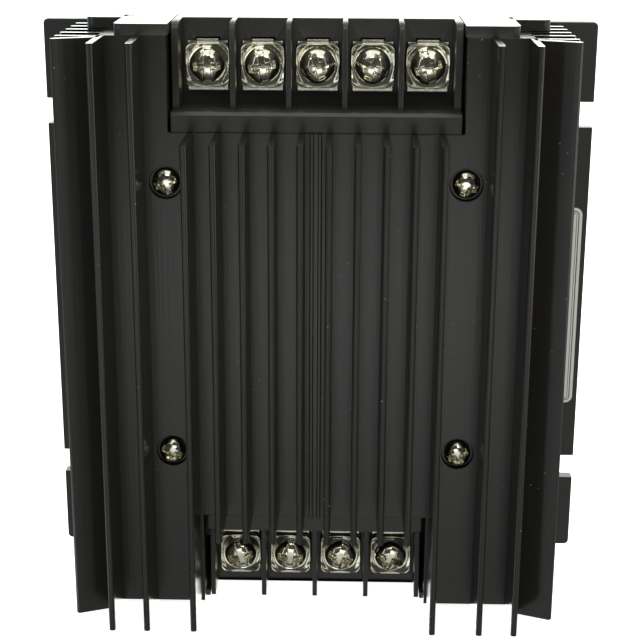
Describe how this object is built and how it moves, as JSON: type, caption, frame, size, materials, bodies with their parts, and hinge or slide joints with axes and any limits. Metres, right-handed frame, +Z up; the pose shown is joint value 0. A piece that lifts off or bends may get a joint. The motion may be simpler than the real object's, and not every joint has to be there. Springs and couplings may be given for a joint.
{
  "type": "solid state relay",
  "caption": "Panel-mounting solid state relay: finned black heat sink over the electronics, notched rear plate, and screw terminal blocks at both ends.",
  "frame": {"origin": "centre of the mounting plate's back face, which lies against the panel", "axes": "+Z up along the fins, -Y towards the user, +X to the user's right"},
  "size_m": [0.117, 0.047, 0.1236],
  "materials": {
    "black_painted_plate": "satin black",
    "black_anodised_aluminium": "black anodised, fine extrusion lines",
    "black_moulded_plastic": "fine moulded texture",
    "black_terminal_plastic": "semi-matt moulded",
    "nickel_plated_brass": "bright nickel plate",
    "nickel_plated_steel": "bright nickel plate",
    "zinc_plated_steel": "zinc plate",
    "black_steel": "black zinc plate",
    "silver_label": "silver film with a printed border",
    "green_circuit_board": "solder mask",
    "fish_paper": "pressed paper",
    "module_epoxy": "moulded epoxy",
    "white_ceramic": "fired alumina",
    "copper": "bare copper",
    "blue_epoxy": "dipped epoxy",
    "yellow_film_box": "moulded box",
    "tan_cement": "cement coat",
    "white_optocoupler": "moulded"
  },
  "bodies": {
    "relay": {"mounting_plate": "black_painted_plate", "heat_sink": "black_anodised_aluminium", "top_cap": "black_moulded_plastic", "bottom_cap": "black_moulded_plastic", "top_terminal_block": "black_terminal_plastic", "bottom_terminal_block": "black_terminal_plastic", "top_terminal_plates": "nickel_plated_brass", "bottom_terminal_plates": "nickel_plated_brass", "heat_sink_screws": "nickel_plated_steel", "plate_screws": "zinc_plated_steel", "cap_screws": "black_steel", "label": "silver_label", "circuit_board": "green_circuit_board", "insulating_sheet": "fish_paper", "board_spacers": "zinc_plated_steel", "board_screws": "zinc_plated_steel", "thyristor_module_1": "module_epoxy", "thyristor_module_2": "module_epoxy", "thyristor_module_3": "module_epoxy", "insulating_pads": "white_ceramic", "module_clamp_bars": "zinc_plated_steel", "line_busbars": "copper", "load_busbars": "copper", "control_pins": "nickel_plated_brass", "varistors": "blue_epoxy", "snubber_capacitors": "yellow_film_box", "snubber_resistors": "tan_cement", "optocouplers": "white_optocoupler", "temperature_switch": "zinc_plated_steel"},
    "clamp_washer_t1": {"clamp_washer_t1": "nickel_plated_steel"},
    "terminal_screw_t1": {"terminal_screw_t1": "nickel_plated_steel"},
    "clamp_washer_t2": {"clamp_washer_t2": "nickel_plated_steel"},
    "terminal_screw_t2": {"terminal_screw_t2": "nickel_plated_steel"},
    "clamp_washer_t3": {"clamp_washer_t3": "nickel_plated_steel"},
    "terminal_screw_t3": {"terminal_screw_t3": "nickel_plated_steel"},
    "clamp_washer_t4": {"clamp_washer_t4": "nickel_plated_steel"},
    "terminal_screw_t4": {"terminal_screw_t4": "nickel_plated_steel"},
    "clamp_washer_t5": {"clamp_washer_t5": "nickel_plated_steel"},
    "terminal_screw_t5": {"terminal_screw_t5": "nickel_plated_steel"},
    "clamp_washer_b1": {"clamp_washer_b1": "nickel_plated_steel"},
    "terminal_screw_b1": {"terminal_screw_b1": "nickel_plated_steel"},
    "clamp_washer_b2": {"clamp_washer_b2": "nickel_plated_steel"},
    "terminal_screw_b2": {"terminal_screw_b2": "nickel_plated_steel"},
    "clamp_washer_b3": {"clamp_washer_b3": "nickel_plated_steel"},
    "terminal_screw_b3": {"terminal_screw_b3": "nickel_plated_steel"},
    "clamp_washer_b4": {"clamp_washer_b4": "nickel_plated_steel"},
    "terminal_screw_b4": {"terminal_screw_b4": "nickel_plated_steel"}
  },
  "joints": [
    {"name": "washer_lift_t1", "type": "slide", "parent": "relay", "child": "clamp_washer_t1", "axis": [0, -1, 0], "range_m": [0, 0.0024]},
    {"name": "screw_turn_t1", "type": "hinge", "parent": "clamp_washer_t1", "child": "terminal_screw_t1", "pos_m": [-0.022, -0.0222, 0.053], "axis": [0, -1, 0], "range_deg": [0, 1440]},
    {"name": "washer_lift_t2", "type": "slide", "parent": "relay", "child": "clamp_washer_t2", "axis": [0, -1, 0], "range_m": [0, 0.0024]},
    {"name": "screw_turn_t2", "type": "hinge", "parent": "clamp_washer_t2", "child": "terminal_screw_t2", "pos_m": [-0.011, -0.0222, 0.053], "axis": [0, -1, 0], "range_deg": [0, 1440]},
    {"name": "washer_lift_t3", "type": "slide", "parent": "relay", "child": "clamp_washer_t3", "axis": [0, -1, 0], "range_m": [0, 0.0024]},
    {"name": "screw_turn_t3", "type": "hinge", "parent": "clamp_washer_t3", "child": "terminal_screw_t3", "pos_m": [0, -0.0222, 0.053], "axis": [0, -1, 0], "range_deg": [0, 1440]},
    {"name": "washer_lift_t4", "type": "slide", "parent": "relay", "child": "clamp_washer_t4", "axis": [0, -1, 0], "range_m": [0, 0.0024]},
    {"name": "screw_turn_t4", "type": "hinge", "parent": "clamp_washer_t4", "child": "terminal_screw_t4", "pos_m": [0.011, -0.0222, 0.053], "axis": [0, -1, 0], "range_deg": [0, 1440]},
    {"name": "washer_lift_t5", "type": "slide", "parent": "relay", "child": "clamp_washer_t5", "axis": [0, -1, 0], "range_m": [0, 0.0024]},
    {"name": "screw_turn_t5", "type": "hinge", "parent": "clamp_washer_t5", "child": "terminal_screw_t5", "pos_m": [0.022, -0.0222, 0.053], "axis": [0, -1, 0], "range_deg": [0, 1440]},
    {"name": "washer_lift_b1", "type": "slide", "parent": "relay", "child": "clamp_washer_b1", "axis": [0, -1, 0], "range_m": [0, 0.0024]},
    {"name": "screw_turn_b1", "type": "hinge", "parent": "clamp_washer_b1", "child": "terminal_screw_b1", "pos_m": [-0.0165, -0.0222, -0.054], "axis": [0, -1, 0], "range_deg": [0, 1440]},
    {"name": "washer_lift_b2", "type": "slide", "parent": "relay", "child": "clamp_washer_b2", "axis": [0, -1, 0], "range_m": [0, 0.0024]},
    {"name": "screw_turn_b2", "type": "hinge", "parent": "clamp_washer_b2", "child": "terminal_screw_b2", "pos_m": [-0.0055, -0.0222, -0.054], "axis": [0, -1, 0], "range_deg": [0, 1440]},
    {"name": "washer_lift_b3", "type": "slide", "parent": "relay", "child": "clamp_washer_b3", "axis": [0, -1, 0], "range_m": [0, 0.0024]},
    {"name": "screw_turn_b3", "type": "hinge", "parent": "clamp_washer_b3", "child": "terminal_screw_b3", "pos_m": [0.0055, -0.0222, -0.054], "axis": [0, -1, 0], "range_deg": [0, 1440]},
    {"name": "washer_lift_b4", "type": "slide", "parent": "relay", "child": "clamp_washer_b4", "axis": [0, -1, 0], "range_m": [0, 0.0024]},
    {"name": "screw_turn_b4", "type": "hinge", "parent": "clamp_washer_b4", "child": "terminal_screw_b4", "pos_m": [0.0165, -0.0222, -0.054], "axis": [0, -1, 0], "range_deg": [0, 1440]}
  ],
  "couplings": [
    {"joint": "screw_turn_t1", "follows": "washer_lift_t1", "rad_per_m": 10472},
    {"joint": "screw_turn_t2", "follows": "washer_lift_t2", "rad_per_m": 10472},
    {"joint": "screw_turn_t3", "follows": "washer_lift_t3", "rad_per_m": 10472},
    {"joint": "screw_turn_t4", "follows": "washer_lift_t4", "rad_per_m": 10472},
    {"joint": "screw_turn_t5", "follows": "washer_lift_t5", "rad_per_m": 10472},
    {"joint": "screw_turn_b1", "follows": "washer_lift_b1", "rad_per_m": 10472},
    {"joint": "screw_turn_b2", "follows": "washer_lift_b2", "rad_per_m": 10472},
    {"joint": "screw_turn_b3", "follows": "washer_lift_b3", "rad_per_m": 10472},
    {"joint": "screw_turn_b4", "follows": "washer_lift_b4", "rad_per_m": 10472}
  ]
}
